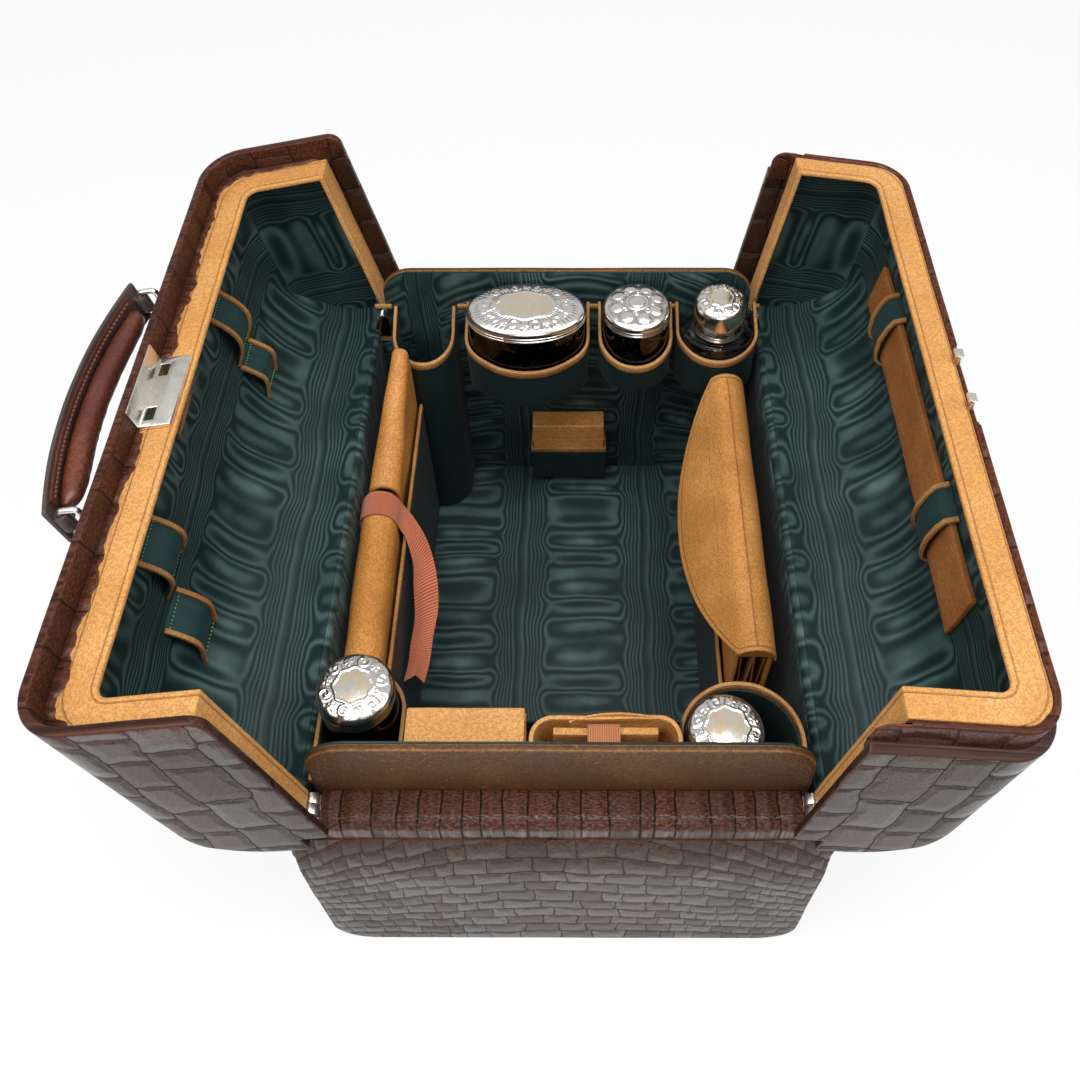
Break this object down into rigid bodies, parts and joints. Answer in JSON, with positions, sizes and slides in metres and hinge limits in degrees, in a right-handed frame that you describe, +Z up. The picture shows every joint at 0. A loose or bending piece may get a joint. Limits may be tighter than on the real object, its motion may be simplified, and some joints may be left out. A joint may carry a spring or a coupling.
{
  "type": "dressing case",
  "caption": "Open crocodile dressing case with two domed leaves, silk-lined pockets, five silver-topped glass vessels and leather cases.",
  "frame": {"origin": "centre of the flat base, on the surface it stands on", "axes": "+X to the right across the case, +Y away from the viewer along its length, +Z up"},
  "size_m": [0.4963, 0.401, 0.3222],
  "materials": {
    "crocodile": "polished crocodile skin",
    "crocodile_red": "polished crocodile skin, red-brown",
    "handle_leather": "worn grain leather",
    "tan_leather": "grained calf",
    "board_leather": "grained calf over board",
    "moire_silk": "watered silk",
    "ribbon": "woven silk ribbon",
    "nickel": "nickel plate, worn",
    "silver": "chased silver",
    "glass": "clear glass"
  },
  "bodies": {
    "case": {"base_board": "board_leather", "side_panel_left": "crocodile", "side_panel_right": "crocodile", "end_panel_near": "crocodile", "end_panel_far": "crocodile", "end_rails": "crocodile_red", "seam_welts": "crocodile", "body_lining": "moire_silk", "end_board_near": "board_leather", "end_board_far": "board_leather", "leather_gusset_left": "crocodile", "leather_gusset_right": "crocodile", "lining_gusset_left": "moire_silk", "lining_gusset_right": "moire_silk", "oval_box_pocket": "moire_silk", "jar_pocket": "moire_silk", "scent_pocket": "moire_silk", "empty_pocket": "moire_silk", "leather_box_pockets": "moire_silk", "bottle_pockets": "moire_silk", "side_pockets": "moire_silk", "pocket_edging": "tan_leather", "body_hinge_leaves": "nickel", "hinge_pins": "nickel"},
    "left_leaf": {"left_leaf_shell": "crocodile", "left_leaf_lining": "moire_silk", "left_rim_frame": "tan_leather", "left_hinge_leaves": "nickel", "left_loops": "moire_silk", "lock_case": "nickel", "handle_chapes": "handle_leather"},
    "right_leaf": {"right_leaf_shell": "crocodile", "right_leaf_lining": "moire_silk", "right_rim_frame": "tan_leather", "right_hinge_leaves": "nickel", "right_loops": "moire_silk", "lock_hooks": "nickel"},
    "handle": {"handle_rings": "nickel", "handle_band": "handle_leather", "handle_grip": "crocodile_red"},
    "lock_bolt": {"lock_slide": "nickel"},
    "loose_flat_case": {"flat_case": "tan_leather"},
    "oval_box": {"oval_box_glass": "glass"},
    "oval_box_cover": {"oval_box_lid": "silver"},
    "jar": {"jar_glass": "glass"},
    "jar_cover": {"jar_lid": "silver"},
    "scent": {"scent_bottle": "glass"},
    "scent_cover": {"scent_cap": "silver"},
    "tall": {"tall_bottle": "glass"},
    "tall_cover": {"tall_bottle_lid": "silver"},
    "short": {"short_bottle": "glass"},
    "short_cover": {"short_bottle_lid": "silver"},
    "small_box": {"small_leather_box": "tan_leather"},
    "near_box": {"near_leather_box": "tan_leather"},
    "folded": {"folded_case": "tan_leather"},
    "far_roll": {"far_roll_case": "tan_leather"},
    "near_roll": {"near_roll_case": "tan_leather", "ribbon": "ribbon"},
    "wallet": {"wallet_body": "tan_leather"},
    "wallet_cover": {"wallet_flap": "tan_leather"}
  },
  "joints": [
    {"name": "left_leaf_hinge", "type": "hinge", "parent": "case", "child": "left_leaf", "pos_m": [-0.13, 0, 0.1815], "axis": [0, -1, 0], "range_deg": [-101.6, 0], "deforming": ["leather_gusset_left", "lining_gusset_left"]},
    {"name": "right_leaf_hinge", "type": "hinge", "parent": "case", "child": "right_leaf", "pos_m": [0.13, 0, 0.1815], "axis": [0, 1, 0], "range_deg": [-98.2, 0], "deforming": ["leather_gusset_right", "lining_gusset_right"]},
    {"name": "handle_swing", "type": "hinge", "parent": "left_leaf", "child": "handle", "pos_m": [-0.2386, 0.005, 0.28783], "axis": [0, 1, 0], "range_deg": [-45, 45]},
    {"name": "lock_bolt_slide", "type": "slide", "parent": "left_leaf", "child": "lock_bolt", "axis": [0, 1, 0], "range_m": [0, 0.004]},
    {"name": "flat_case_slide", "type": "slide", "parent": "right_leaf", "child": "loose_flat_case", "axis": [0, 1, 0], "range_m": [-0.06, 0.03]},
    {"name": "oval_box_lift", "type": "slide", "parent": "case", "child": "oval_box", "axis": [0, 0, 1], "range_m": [0, 0.08]},
    {"name": "oval_box_cover_lift", "type": "slide", "parent": "oval_box", "child": "oval_box_cover", "axis": [0, 0, 1], "range_m": [0, 0.03]},
    {"name": "jar_lift", "type": "slide", "parent": "case", "child": "jar", "axis": [0, 0, 1], "range_m": [0, 0.08]},
    {"name": "jar_cover_lift", "type": "slide", "parent": "jar", "child": "jar_cover", "axis": [0, 0, 1], "range_m": [0, 0.03]},
    {"name": "scent_lift", "type": "slide", "parent": "case", "child": "scent", "axis": [0, 0, 1], "range_m": [0, 0.08]},
    {"name": "scent_cover_lift", "type": "slide", "parent": "scent", "child": "scent_cover", "axis": [0, 0, 1], "range_m": [0, 0.03]},
    {"name": "tall_lift", "type": "slide", "parent": "case", "child": "tall", "axis": [0, 0, 1], "range_m": [0, 0.13]},
    {"name": "tall_cover_lift", "type": "slide", "parent": "tall", "child": "tall_cover", "axis": [0, 0, 1], "range_m": [0, 0.03]},
    {"name": "short_lift", "type": "slide", "parent": "case", "child": "short", "axis": [0, 0, 1], "range_m": [0, 0.12]},
    {"name": "short_cover_lift", "type": "slide", "parent": "short", "child": "short_cover", "axis": [0, 0, 1], "range_m": [0, 0.03]},
    {"name": "small_box_lift", "type": "slide", "parent": "case", "child": "small_box", "axis": [0, 0, 1], "range_m": [0, 0.06]},
    {"name": "near_box_lift", "type": "slide", "parent": "case", "child": "near_box", "axis": [0, 0, 1], "range_m": [0, 0.09]},
    {"name": "folded_case_lift", "type": "slide", "parent": "case", "child": "folded", "axis": [0, 0, 1], "range_m": [0, 0.1]},
    {"name": "far_roll_lift", "type": "slide", "parent": "case", "child": "far_roll", "axis": [0, 0, 1], "range_m": [0, 0.12]},
    {"name": "near_roll_lift", "type": "slide", "parent": "case", "child": "near_roll", "axis": [0, 0, 1], "range_m": [0, 0.12]},
    {"name": "wallet_lift", "type": "slide", "parent": "case", "child": "wallet", "axis": [0, 0, 1], "range_m": [0, 0.12]},
    {"name": "wallet_cover_hinge", "type": "hinge", "parent": "wallet", "child": "wallet_cover", "pos_m": [0.124, 0.014, 0.167], "axis": [0, 1, 0], "range_deg": [0, 35]}
  ]
}
